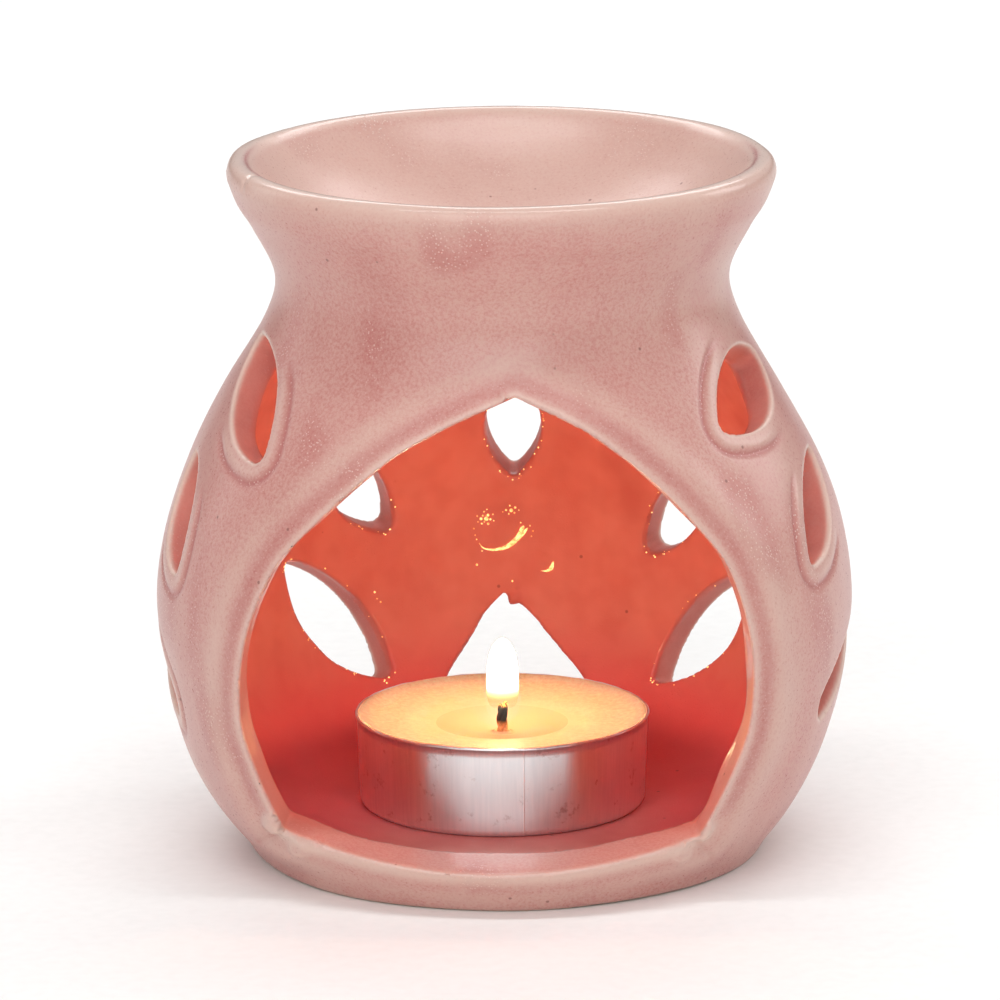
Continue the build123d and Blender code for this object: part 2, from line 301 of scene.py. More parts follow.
def fade(value, low, high):
    """0 below low, 1 above high, smooth in between."""
    t = np.clip((value - low) / (high - low), 0, 1)
    return t * t * (3 - 2 * t)


def ridge(distance, centre, width):
    """A soft bump of height 1 across a line at the given distance."""
    return np.exp(-((distance - centre) / width) ** 2)


def unevenness(co, size, seed):
    """Soft random field from -1 to 1 with features of the given size in millimetres."""
    shift = Vector((seed * 7.3, seed * 3.1, seed * 5.7))
    return np.array([noise.noise(Vector(p) / size + shift) for p in co])


# ---------------------------------------------------------------- camera and light

def build_camera():
    """The camera stands where the photograph was taken from."""
    data = bpy.data.cameras.new("camera")
    data.sensor_width = 36
    data.lens = CAMERA_LENS
    data.clip_start = 0.1
    camera = placed("camera", data)
    tilt = Matrix.Rotation(math.radians(90 - CAMERA_TILT), 4, "X")
    roll = Matrix.Rotation(math.radians(CAMERA_ROLL), 4, "Z")
    camera.matrix_world = Matrix.Translation(CAMERA_PLACE) @ tilt @ roll
    bpy.context.scene.camera = camera


def softbox(name, place, aim, width, height, power):
    """A soft white panel of light, sizes in metres and power in watts."""
    data = bpy.data.lights.new(name, "AREA")
    data.shape = "RECTANGLE"
    data.size = width
    data.size_y = height
    data.energy = power
    lamp = placed(name, data)
    direction = Vector(aim) - Vector(place)
    lamp.matrix_world = Matrix.Translation(place) @ direction.to_track_quat("-Z", "Y").to_matrix().to_4x4()


def build_studio():
    """Pale all round, with a dark gap behind the pot, just over the table, that draws its shoulders' edges.
    The ground itself shows almost pure white."""
    world = bpy.data.worlds.new("studio")
    world.use_nodes = True
    tree = world.node_tree
    tree.nodes.clear()
    direction = add(tree, "SeparateXYZ", {"Vector": add(tree, "TexCoord").outputs["Generated"]})
    behind = add(tree, "MapRange", {"Value": direction.outputs["Y"], "From Min": 0.1, "From Max": 0.45})
    low = add(tree, "MapRange", {"Value": direction.outputs["Z"], "From Min": 0.12, "From Max": 0.03})
    gap = add(tree, "Math", {0: behind.outputs[0], 1: low.outputs[0]}, operation="MULTIPLY")
    level = add(tree, "MapRange", {"Value": gap.outputs[0], "To Min": 0.37, "To Max": 0.02})
    seen = add(tree, "LightPath").outputs["Is Camera Ray"]
    strength = add(tree, "Mix", {"Factor": seen, 2: level.outputs[0], 3: 0.97})
    background = add(tree, "Background", {"Color": linear("#FFFFFF"), "Strength": strength.outputs[0]})
    add(tree, "OutputWorld", {"Surface": background.outputs[0]})
    bpy.context.scene.world = world
    bpy.context.scene.view_settings.view_transform = "Standard"
    aim = (0, 0, 0.045)
    softbox("softbox_front", (-0.15, -1.25, 0.85), aim, 1.5, 0.9, 11.2)
    softbox("softbox_left", (-0.85, 0.45, 0.3), aim, 0.25, 0.6, 0.6)
    softbox("softbox_right", (0.85, 0.38, 0.45), aim, 0.3, 0.45, 1.8)
    softbox("softbox_top", (0, -0.2, 1.15), aim, 1.1, 0.12, 4.5)
    softbox("softbox_table", (0, 1.0, 0.9), (0, 0.45, 0), 1.4, 0.4, 6)


# ---------------------------------------------------------------- materials

def add(tree, kind, inputs=(), stops=(), **settings):
    """Adds one node with its settings. An input is a number or colour, or the output that feeds it. A colour
    ramp has stops of (position, hex)."""
    node = tree.nodes.new("ShaderNode" + kind)
    for key, value in settings.items():
        setattr(node, key, value)
    for key, value in dict(inputs).items():
        if isinstance(value, bpy.types.NodeSocket):
            tree.links.new(value, node.inputs[key])
        else:
            node.inputs[key].default_value = value
    if stops:
        elements = node.color_ramp.elements
        while len(elements) < len(stops):
            elements.new(0.5)
        for element, (position, code) in zip(elements, stops):
            element.position = position
            element.color = linear(code)
    return node


def new_material(name):
    material = bpy.data.materials.new(name)
    material.use_nodes = True
    tree = material.node_tree
    tree.nodes.clear()
    place = add(tree, "TexCoord").outputs["Object"]
    return material, tree, place


def layered(tree, colour, *layers):
    """Lays colours over the first one in turn, each as far as its factor says."""
    for factor, over in layers:
        over = linear(over) if isinstance(over, str) else over
        colour = add(tree, "Mix", {"Factor": factor, 6: colour, 7: over}, data_type="RGBA").outputs[2]
    return colour


def glaze_material():
    """Dusty pink glossy glaze, dipped and fired over pale stoneware.
    The eye sees a soft cloudy pink, beige where it is thin and rose where it ran, thin pale edges,
    clusters of tiny bubbles with painted glints as paler dots, and a few dark specks of iron. Painted light:
    a paler sill, knuckles and bowl. Painted shade: a deeper red glaze inside the pot and its cuts, and a dark line
    just inside the near rim."""
    material, tree, place = new_material("pink_glazed_stoneware")
    thin, pooled, inner, bare, glassy, shine = (
        add(tree, "Attribute", attribute_name=name).outputs["Fac"]
        for name in ("thin", "pooled", "inner", "bare", "glassy", "shine"))
    # clouds 15 mm across, drawn out along the slanting runs of the glaze
    slanted = add(tree, "Mapping", {"Vector": place, "Rotation": (0, math.radians(50), 0), "Scale": (1, 1, 0.4)})
    clouds = add(tree, "TexNoise", {"Vector": slanted.outputs[0], "Scale": 1 / (15 * MM), "Detail": 2.5,
                                    "Roughness": 0.5}).outputs["Fac"]
    colour = add(tree, "ValToRGB", {"Fac": clouds}, stops=(
        (0.3, "#BF8079"), (0.47, "#C88F87"), (0.62, "#CC9B91"), (0.75, "#CFA599"))).outputs[0]
    # grain of milky and clear glaze, 0.4 mm across
    grain = add(tree, "TexNoise", {"Vector": place, "Scale": 1 / (0.4 * MM), "Detail": 2.0,
                                   "Roughness": 0.75}).outputs["Fac"]
    milky = add(tree, "MapRange", {"Value": grain, "From Min": 0.42, "From Max": 0.62, "To Max": 0.4})
    clear = add(tree, "MapRange", {"Value": grain, "From Min": 0.5, "From Max": 0.36, "To Max": 0.22})
    # bubbles 0.45 mm apart, crowded in the darker runs: raised bumps, with paler dots on them as painted glints
    bubbles = add(tree, "TexVoronoi", {"Vector": place, "Scale": 1 / (0.45 * MM)})
    runs = add(tree, "TexNoise", {"Vector": slanted.outputs[0], "Scale": 1 / (11 * MM), "Detail": 1.5})
    patch = add(tree, "MapRange", {"Value": runs.outputs["Fac"], "From Min": 0.57, "From Max": 0.68})
    patch = add(tree, "Math", {0: patch.outputs[0], 1: pooled}, operation="MAXIMUM", use_clamp=True).outputs[0]
    dot = add(tree, "MapRange", {"Value": bubbles.outputs["Distance"], "From Min": 0.16, "From Max": 0.3,
                                 "To Min": 0.75, "To Max": 0.0})
    bubbles_painted_glint = add(tree, "Math", {0: dot.outputs[0], 1: patch}, operation="MULTIPLY").outputs[0]
    rosy = add(tree, "Math", {0: patch, 1: 0.5}, operation="MULTIPLY").outputs[0]
    # inside the pot and its cuts the glaze is a deeper red copy, partly thicker glaze and partly painted shade:
    # streaks that ran down, and deep red over the floor
    waves = add(tree, "TexNoise", {"Vector": place, "Scale": 1 / (3.5 * MM), "Detail": 1.5}).outputs["Fac"]
    streaks = add(tree, "ValToRGB", {"Fac": runs.outputs["Fac"]}, stops=(
        (0.35, "#BD6D63"), (0.5, "#CC8074"), (0.68, "#C5766B"))).outputs[0]
    mottled = add(tree, "ValToRGB", {"Fac": waves}, stops=((0.35, "#B5605A"), (0.6, "#D78F82"))).outputs[0]
    wall = layered(tree, streaks, (0.17, mottled), (pooled, "#CA5A5F"))
    # iron specks up to 0.5 mm across, about one to two square centimetres
    specks = add(tree, "TexVoronoi", {"Vector": place, "Scale": 1 / (5 * MM)})
    speck = add(tree, "MapRange", {"Value": specks.outputs["Distance"], "From Min": 0.03, "From Max": 0.055,
                                   "To Min": 0.7, "To Max": 0.0})
    clay = add(tree, "ValToRGB", {"Fac": grain}, stops=((0.3, "#C9B39F"), (0.7, "#DDCDBB"))).outputs[0]
    # thin also holds painted light (sill, knuckles, bowl), pooled also holds painted shade (inside the near rim, low
    # in the chamber), and inner is partly painted shade
    colour = layered(tree, colour, (milky.outputs[0], "#D2AFA2"), (clear.outputs[0], "#B9716B"),
                     (pooled, "#AE6460"), (rosy, "#B76B66"), (bubbles_painted_glint, "#EBD0C6"), (thin, "#DCC0B2"),
                     (inner, wall), (speck.outputs[0], "#7A4A44"), (bare, clay))
    rough = add(tree, "MapRange", {"Value": grain, "To Min": 0.2, "To Max": 0.42})
    rough = add(tree, "Mix", {"Factor": inner, 2: rough.outputs[0], 3: 0.62}).outputs[0]
    rough = add(tree, "Mix", {"Factor": bare, 2: rough, 3: 0.85}).outputs[0]
    coat = add(tree, "Math", {0: glassy, 1: 0.7}, operation="MULTIPLY").outputs[0]
    # surface: slow waves 3.5 mm long, fine orange peel, and the bubbles
    soft = add(tree, "Bump", {"Height": waves, "Strength": 0.3, "Distance": 0.2 * MM}).outputs[0]
    fine = add(tree, "Bump", {"Height": grain, "Strength": 0.3, "Distance": 0.05 * MM, "Normal": soft})
    blister = add(tree, "Bump", {"Height": bubbles_painted_glint, "Strength": 0.6, "Distance": 0.08 * MM,
                                 "Normal": fine.outputs[0]})
    glaze = add(tree, "BsdfPrincipled", {
        "Base Color": colour, "Roughness": rough, "Normal": blister.outputs[0], "IOR": 1.5,
        "Specular IOR Level": shine, "Coat Weight": coat, "Coat Roughness": 0.07, "Coat Normal": soft,
        "Subsurface Weight": 0.06, "Subsurface Radius": (0.0012, 0.0008, 0.0006), "Subsurface Scale": 1.0})
    add(tree, "OutputMaterial", {"Surface": glaze.outputs[0]})
    return material


def painted_glow_drop_material():
    """Drops of clear glaze that ran and set on the wall.
    The eye sees amber beads, brighter than the wall: they glow with painted light, standing in for the flame's
    highlights."""
    material, tree, place = new_material("glaze_drops_painted_glow")
    cloudy = add(tree, "TexNoise", {"Vector": place, "Scale": 1 / (0.5 * MM), "Detail": 1.0})
    # painted highlight: the drops emit a cloudy glow of their own
    glow = add(tree, "MapRange", {"Value": cloudy.outputs["Fac"], "From Min": 0.35, "From Max": 0.6,
                                  "To Min": 0.3, "To Max": 1.6})
    drops = add(tree, "BsdfPrincipled", {
        "Base Color": linear("#F0B45C"), "Roughness": 0.12, "Coat Weight": 1.0, "Coat Roughness": 0.05,
        "Emission Color": linear("#FFDE92"), "Emission Strength": glow.outputs[0]})
    add(tree, "OutputMaterial", {"Surface": drops.outputs[0]})
    return material


def aluminium_material():
    """Thin bare aluminium, rolled and then deep drawn: its fine grain smears reflections upright.
    The eye sees a bright upright patch in front, faint drawing lines, a seam and smudges."""
    material, tree, place = new_material("pressed_aluminium")
    stretched = add(tree, "Mapping", {"Vector": place, "Scale": (1, 1, 0.05)})
    lines = add(tree, "TexNoise", {"Vector": stretched.outputs[0], "Scale": 1 / (0.4 * MM),
                                   "Detail": 3.0}).outputs["Fac"]
    bright = add(tree, "ValToRGB", {"Fac": lines}, stops=((0.3, "#EAF1F4"), (0.7, "#F5FAFC"))).outputs[0]
    smudges = add(tree, "TexNoise", {"Vector": place, "Scale": 1 / (2.5 * MM), "Detail": 4.0, "Roughness": 0.7})
    dull = add(tree, "MapRange", {"Value": smudges.outputs["Fac"], "From Min": 0.6, "From Max": 0.72,
                                  "To Max": 0.6})
    # the upright seam line at the front
    apart = add(tree, "SeparateXYZ", {"Vector": place})
    off = add(tree, "Math", {0: apart.outputs["X"], 1: SEAM_X * MM}, operation="SUBTRACT")
    off = add(tree, "Math", {0: off.outputs[0]}, operation="ABSOLUTE")
    line = add(tree, "MapRange", {"Value": off.outputs[0], "From Min": 0.03 * MM, "From Max": 0.12 * MM,
                                  "To Min": 1.0, "To Max": 0.0})
    front = add(tree, "Math", {0: apart.outputs["Y"], 1: 0.0}, operation="LESS_THAN")
    seam = add(tree, "Math", {0: line.outputs[0], 1: front.outputs[0]}, operation="MULTIPLY").outputs[0]
    colour = layered(tree, bright, (dull.outputs[0], "#A8A19E"), (seam, "#FFFFFF"))
    rough = add(tree, "MapRange", {"Value": lines, "From Min": 0.3, "From Max": 0.7, "To Min": 0.31, "To Max": 0.28})
    drawn = add(tree, "Bump", {"Height": lines, "Strength": 0.08, "Distance": 0.01 * MM})
    raised = add(tree, "Bump", {"Height": seam, "Strength": 0.5, "Distance": 0.08 * MM,
                                "Normal": drawn.outputs[0]})
    around = add(tree, "Tangent", direction_type="RADIAL", axis="Z").outputs[0]
    metal = add(tree, "BsdfPrincipled", {
        "Base Color": colour, "Metallic": 1.0, "Roughness": rough.outputs[0], "Anisotropic": 0.85,
        "Anisotropic Rotation": 0.25, "Tangent": around, "Normal": raised.outputs[0]})
    add(tree, "OutputMaterial", {"Surface": metal.outputs[0]})
    return material


def wax_material():
    """Paraffin wax, poured: milky and faintly warm, grained on top, glassy and wet where the flame has melted it.
    Light spreads far inside it, and painted light evens the top: an emitted glow lifts its outer part and painted
    shade darkens the part near the flame."""
    material, tree, place = new_material("poured_paraffin_wax")
    wet = add(tree, "Attribute", attribute_name="wet").outputs["Fac"]
    mottle = add(tree, "TexNoise", {"Vector": place, "Scale": 1 / (0.7 * MM), "Detail": 4.0,
                                    "Roughness": 0.75}).outputs["Fac"]
    milky = add(tree, "ValToRGB", {"Fac": mottle}, stops=((0.38, "#DCC096"), (0.64, "#F3DEB8"))).outputs[0]
    # painted light: an emitted glow lifts the outer part, far from the flame; painted shade darkens the part near
    # the flame
    flat = add(tree, "VectorMath", {0: place, 1: (1, 1, 0)}, operation="MULTIPLY").outputs[0]
    away = add(tree, "VectorMath", {0: flat}, operation="LENGTH").outputs["Value"]
    near = add(tree, "MapRange", {"Value": away, "From Min": 15 * MM, "From Max": 8 * MM, "To Max": 0.7})
    glow = add(tree, "MapRange", {"Value": away, "From Min": 7 * MM, "From Max": 18 * MM, "To Max": 0.24})
    colour = layered(tree, milky, (wet, "#D9BE93"), (near.outputs[0], "#DABF94"))
    rough = add(tree, "MapRange", {"Value": wet, "To Min": 0.45, "To Max": 0.12})
    grainy = add(tree, "MapRange", {"Value": wet, "To Min": 0.5, "To Max": 0.02})
    bump = add(tree, "Bump", {"Height": mottle, "Strength": grainy.outputs[0], "Distance": 0.15 * MM})
    wax = add(tree, "BsdfPrincipled", {
        "Base Color": colour, "Roughness": rough.outputs[0], "Normal": bump.outputs[0], "IOR": 1.44,
        "Specular IOR Level": 0.2, "Emission Color": linear("#F2A764"), "Emission Strength": glow.outputs[0],
        "Subsurface Weight": 1.0, "Subsurface Radius": (0.02, 0.015, 0.01), "Subsurface Scale": 1.0})
    add(tree, "OutputMaterial", {"Surface": wax.outputs[0]})
    return material


def tinplate_material():
    """Tinned sheet steel, stamped: grey, satin, with fine rolling lines."""
    material, tree, place = new_material("stamped_tinplate")
    rolled = add(tree, "Mapping", {"Vector": place, "Scale": (1, 0.1, 1)})
    lines = add(tree, "TexNoise", {"Vector": rolled.outputs[0], "Scale": 1 / (0.4 * MM),
                                   "Detail": 2.0}).outputs["Fac"]
    colour = add(tree, "ValToRGB", {"Fac": lines}, stops=((0.3, "#9C9A97"), (0.7, "#BDBBB7"))).outputs[0]
    bump = add(tree, "Bump", {"Height": lines, "Strength": 0.2, "Distance": 0.03 * MM})
    metal = add(tree, "BsdfPrincipled", {"Base Color": colour, "Metallic": 1.0, "Roughness": 0.38,
                                         "Normal": bump.outputs[0]})
    add(tree, "OutputMaterial", {"Surface": metal.outputs[0]})
    return material


def wick_material():
    """Twisted cotton wick: amber where it is soaked, charred black above the wax, its tip still glowing."""
    material, tree, place = new_material("charred_cotton_wick")
    height = add(tree, "SeparateXYZ", {"Vector": place}).outputs["Z"]
    fibres = add(tree, "TexNoise", {"Vector": place, "Scale": 1 / (0.25 * MM), "Detail": 3.0}).outputs["Fac"]
    soaked = add(tree, "ValToRGB", {"Fac": fibres}, stops=((0.3, "#B98558"), (0.7, "#DDAF80"))).outputs[0]
    char = add(tree, "ValToRGB", {"Fac": fibres}, stops=((0.35, "#060403"), (0.7, "#150D09"))).outputs[0]
    burnt, ember = (
        add(tree, "MapRange", {"Value": height, "From Min": low * MM, "From Max": high * MM}).outputs[0]
        for low, high in (CHARRED, GLOWING))
    colour = layered(tree, soaked, (burnt, char))
    patchy = add(tree, "MapRange", {"Value": fibres, "From Min": 0.48, "From Max": 0.6, "To Max": 9.0})
    glow = add(tree, "Math", {0: ember, 1: patchy.outputs[0]}, operation="MULTIPLY")
    bump = add(tree, "Bump", {"Height": fibres, "Strength": 0.6, "Distance": 0.12 * MM})
    cotton = add(tree, "BsdfPrincipled", {
        "Base Color": colour, "Roughness": 0.9, "Normal": bump.outputs[0],
        "Emission Color": linear("#FFA23C"), "Emission Strength": glow.outputs[0]})
    add(tree, "OutputMaterial", {"Surface": cotton.outputs[0]})
    return material


def glow_material(name, stops, strength, low, full, opacity):
    """Glowing gas: its colours run up from low to the flame's tip, and it fades in from low to full. The light
    doubles in even steps of height, so that the see-through foot melts softly into the white."""
    material, tree, place = new_material(name)
    height = add(tree, "SeparateXYZ", {"Vector": place}).outputs["Z"]
    rise = add(tree, "MapRange", {"Value": height, "From Min": low * MM, "From Max": FLAME_TOP * MM})
    colour = add(tree, "ValToRGB", {"Fac": rise.outputs[0]}, stops=stops).outputs[0]
    climb = add(tree, "MapRange", {"Value": height, "From Min": (low + 1.2) * MM, "From Max": (low + 4.8) * MM})
    power = add(tree, "Math", {0: strength, 1: climb.outputs[0]}, operation="POWER")
    glow = add(tree, "Emission", {"Color": colour, "Strength": power.outputs[0]})
    dense = add(tree, "MapRange", {"Value": height, "From Min": low * MM, "From Max": full * MM,
                                   "To Max": opacity})
    clear = add(tree, "BsdfTransparent")
    gas = add(tree, "MixShader", {"Fac": dense.outputs[0], 1: clear.outputs[0], 2: glow.outputs[0]})
    add(tree, "OutputMaterial", {"Surface": gas.outputs[0]})
    return material


def floor_material():
    """Matt white studio paper with the faintest grain."""
    material, tree, place = new_material("studio_paper")
    grain = add(tree, "TexNoise", {"Vector": place, "Scale": 1 / (2 * MM), "Detail": 2.0})
    colour = add(tree, "ValToRGB", {"Fac": grain.outputs["Fac"]}, stops=((0.3, "#F7F7F6"), (0.7, "#FBFBFA")))
    paper = add(tree, "BsdfPrincipled", {"Base Color": colour.outputs[0], "Roughness": 0.8})
    add(tree, "OutputMaterial", {"Surface": paper.outputs[0]})
    return material


# ---------------------------------------------------------------- the pot and its dish

def outer_line():
    """The outside of the pot from foot to rim, as one smooth curve."""
    return smooth_line(OUTLINE, 8)


def pot_solid():
    """The pot and the dish as one turned lump, before it is hollowed."""
    line = [p for p in outer_line() if p[1] > FOOT_EDGE]
    foot = arc((FOOT_RADIUS - 0.4, FOOT_EDGE), FOOT_EDGE, -90, -25, 5)
    dish = smooth_line(DISH_LINE, 5)
    dish[-1] = (0, DISH_LINE[-1][1])
    return turned("glazed_burner", [(0, 0), *foot, *line, *dish], 160)


def chamber_cutter():
    """The hollow: the outside moved in by the wall, with a flat floor, a round corner and the dish's underside.
    The small gaps left at both ends of the wall keep its line from doubling back on the corner and the dome."""
    line = np.array(outer_line())
    along = np.gradient(line, axis=0)
    along /= np.linalg.norm(along, axis=1)[:, None]
    inner = line - np.stack([along[:, 1], -along[:, 0]], axis=1) * WALL
    lean = math.radians(WALL_LEAN)
    corner_top = FLOOR_TOP + CHAMBER_CORNER * (1 - math.sin(lean))
    inner = [p for p in inner if corner_top + 0.4 < p[1] < NECK_HEIGHT - 0.8]
    flat_radius = inner[0][0] - CHAMBER_CORNER * math.cos(lean) - 0.15
    corner = arc((flat_radius, FLOOR_TOP + CHAMBER_CORNER), CHAMBER_CORNER, -90, -WALL_LEAN, 16)
    neck_radius = inner[-1][0]
    drop = NECK_HEIGHT - DISH_UNDERSIDE
    dome = [(neck_radius * math.cos(a), NECK_HEIGHT - drop * math.sin(a))
            for a in np.linspace(0, math.pi / 2, 14)[1:]]
    return turned("chamber_cutter", [(0, FLOOR_TOP), *corner, *inner, *dome], 128)


def arch_outline(left, right, sill):
    """The closed outline of an arch: up its left side, down its right side, and back along the hollowed sill."""
    outline = [*smooth_line(left, 5)[:-1], *smooth_line(right, 5)]
    start, end = np.array(right[-1]), np.array(left[0])
    for t in np.linspace(0, 1, 9)[1:-1]:
        x, z = start + (end - start) * t
        outline.append((x, z - (z - sill) * math.sin(math.pi * t)))
    return outline


def arch_cutter(name, outline, facing, near=1.0, far=1.0):
    """A pointed arch pushed through the wall; facing is -1 for the front and 1 for the back. Near and far are its
    size at the axis and at the end of its reach."""
    outline = [(ARCH_PIVOT[0] + (x - ARCH_PIVOT[0]) * near, ARCH_PIVOT[1] + (z - ARCH_PIVOT[1]) * near)
               for x, z in outline]
    place = Matrix(((1, 0, 0, 0), (0, 0, facing, 0), (0, 1, 0, 0), (0, 0, 0, 1)))
    return prism(name, outline, CUT_REACH, place, far / near, ARCH_PIVOT)


def petal_frame(petal):
    """Centre, sideways, lengthways and outward directions of a petal hole on the outside of the pot."""
    azimuth, height, _, _, lean, _ = petal
    line = np.array(outer_line())
    along = np.gradient(line, axis=0)
    radius = np.interp(height, line[:, 1], line[:, 0])
    rise = Vector((np.interp(height, line[:, 1], along[:, 0]), 0, np.interp(height, line[:, 1], along[:, 1])))
    rise.normalize()
    turn = Matrix.Rotation(math.radians(azimuth - 90), 3, "Z")
    out = turn @ Vector((rise.z, 0, -rise.x))
    side = turn @ Vector((0, 1, 0))
    level = out.cross(side)
    tilt = math.radians(lean)
    return (turn @ Vector((radius, 0, height)), side * math.cos(tilt) - level * math.sin(tilt),
            side * math.sin(tilt) + level * math.cos(tilt), out)


def petal_arcs(length, width, tip):
    """A petal is two arcs that meet in round tips: how far from its middle the tips' centres lie, the arcs' radius
    less the tip's, and how far beyond the middle the arcs' centres lie."""
    half, wide = length / 2 - tip, width / 2 - tip
    bend = (half ** 2 + wide ** 2) / (2 * wide)
    return half, bend, bend - wide


def petal_outline(length, width, tip):
    """The points round a petal hole."""
    half, bend, inset = petal_arcs(length, width, tip)
    spread = math.degrees(math.asin(half / bend))
    outline = []
    for turn, flip in ((0, 1), (180, -1)):
        outline += arc((-flip * inset, 0), bend + tip, turn - spread, turn + spread, 16)[1:-1]
        outline += arc((0, flip * half), tip, turn + spread, turn + 180 - spread, 8)
    return outline


def petal_distance(petal, co):
    """How far each point lies outside a petal's outline, measured in the petal's own plane."""
    centre, side, up, out = (np.array(v) for v in petal_frame(petal))
    _, _, length, width, _, tip = petal
    x, y, off = (co - centre) @ side, (co - centre) @ up, (co - centre) @ out
    half, bend, inset = petal_arcs(length, width, tip)
    ax, ay = np.abs(x), np.abs(y)
    beyond_tip = (ay - half) * inset > ax * half
    distance = np.where(beyond_tip, np.hypot(ax, ay - half), np.hypot(ax + inset, ay) - bend) - tip
    return np.where(np.abs(off) < 12, distance, 99.0), x, y


def polyline_distance(co_x, co_z, points):
    """Distance from each point to a line of points, seen flat from the front."""
    best = np.full(len(co_x), 99.0)
    for (x0, z0), (x1, z1) in zip(points, points[1:]):
        dx, dz = x1 - x0, z1 - z0
        t = np.clip(((co_x - x0) * dx + (co_z - z0) * dz) / (dx * dx + dz * dz), 0, 1)
        best = np.minimum(best, np.hypot(co_x - x0 - t * dx, co_z - z0 - t * dz))
    return best


def inside_outline(co_x, co_z, points):
    """Which points lie inside a closed outline."""
    inside = np.zeros(len(co_x), bool)
    for (x0, z0), (x1, z1) in zip(points, [*points[1:], points[0]]):
        if z0 != z1:
            inside ^= ((z0 > co_z) != (z1 > co_z)) & (co_x < (x1 - x0) * (co_z - z0) / (z1 - z0) + x0)
    return inside


def arch_distance(co):
    """How far each point lies outside the cut of the front opening, which widens outwards."""
    front = np.flatnonzero(co[:, 1] < -5)
    scale = ARCH_NEAR + (ARCH_FAR - ARCH_NEAR) * np.clip(-co[front, 1] / CUT_REACH, 0, 1)
    x = ARCH_PIVOT[0] + (co[front, 0] - ARCH_PIVOT[0]) / scale
    z = ARCH_PIVOT[1] + (co[front, 2] - ARCH_PIVOT[1]) / scale
    outline = arch_outline(ARCH_LEFT, ARCH_RIGHT, ARCH_SILL)
    distance = polyline_distance(x, z, [*outline, outline[0]]) * scale
    everywhere = np.full(len(co), 99.0)
    everywhere[front] = np.where(inside_outline(x, z, outline), -distance, distance)
    return everywhere


def cut_distances(co):
    """The distance from each cut in turn: the petal holes, then the front opening."""
    for petal in PETALS:
        yield petal_distance(petal, co)[0]
    yield arch_distance(co)


def depth_in(co):
    """How far each point lies inwards of the pot's outside, about square to the wall."""
    line = np.array(outer_line())
    along = np.gradient(line, axis=0)
    steep = along[:, 1] / np.linalg.norm(along, axis=1)
    radius = np.hypot(co[:, 0], co[:, 1])
    return (np.interp(co[:, 2], line[:, 1], line[:, 0]) - radius) * np.interp(co[:, 2], line[:, 1], steep)


def rounded(first, second):
    """Depth below two faces that meet in a slightly rounded edge."""
    corner = EDGE - np.hypot(np.clip(EDGE - first, 0, None), np.clip(EDGE - second, 0, None))
    return np.where((first < EDGE) & (second < EDGE), corner, np.minimum(first, second))


def true_edges(piece):
    """Moves the points beside each cut on to the exact, evenly rounded edge, but not low down inside, where the
    wall runs into the floor."""
    for _ in range(3):
        co, no = points_of(piece.data)
        depth = depth_in(co)
        for distance in cut_distances(co):
            near = np.flatnonzero(np.abs(distance) < 2)
            gap, deep = distance[near], depth[near]
            outer = rounded(gap, deep) * (deep < WALL / 2)
            inward = rounded(gap, WALL - deep) * (deep >= WALL / 2) * fade(co[near, 2], 10, 13)
            shift = (outer + inward) * (1 - fade(np.abs(gap), 1.0, 2.0))
            co[near] += no[near] * np.clip(shift, -0.4, 0.4)[:, None]
        move_points(piece.data, co)


def thin_out(piece, triangles):
    """Fewer triangles where the wall is plain, and all of them kept beside the cuts."""
    co, no = points_of(piece.data)
    away = np.full(len(co), 99.0)
    for distance in cut_distances(co):
        away = np.minimum(away, np.abs(distance))
    share = np.round(fade(away, 0.8, 1.6), 1)
    group = piece.vertex_groups.new(name="plain_wall")
    for level in np.unique(share):
        group.add(np.flatnonzero(share == level).tolist(), float(level), "REPLACE")
    present = sum(len(p.vertices) - 2 for p in piece.data.polygons)
    modify(piece, "DECIMATE", ratio=triangles / present, vertex_group=group.name)
    piece.vertex_groups.clear()


def keep_in_box(piece):
    """No point of the piece leaves the box of the CAD model."""
    co, no = points_of(piece.data)
    low, high = np.array([list(corner) for corner in cad_box]) / MM
    move_points(piece.data, np.clip(co, low, high - 0.01))


